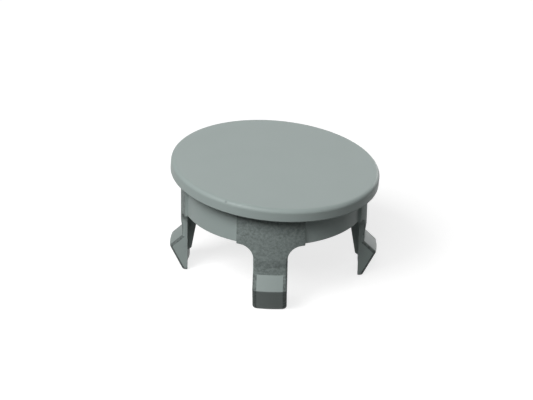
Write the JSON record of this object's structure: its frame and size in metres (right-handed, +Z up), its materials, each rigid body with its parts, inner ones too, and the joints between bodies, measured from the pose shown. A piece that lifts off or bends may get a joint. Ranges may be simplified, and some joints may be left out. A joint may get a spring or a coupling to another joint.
{
  "type": "tow ball cover",
  "caption": "Round snap-in plastic cover for a tow ball opening: a slightly leaning disc on a hollow skirt, with barbed spring legs and tapered inner ribs.",
  "frame": {"origin": "on the axis of the skirt, at the level of the leg tips", "axes": "+Z up along the skirt's axis to the disc, -Y to the front leg, -X to the side where the leaning disc stands highest"},
  "size_m": [0.0604, 0.0604, 0.0354],
  "materials": {
    "grey_plastic": "satin, with a spark-eroded texture on the outside of the legs and their panels"
  },
  "bodies": {
    "root": {"cover": "grey_plastic"}
  },
  "joints": []
}
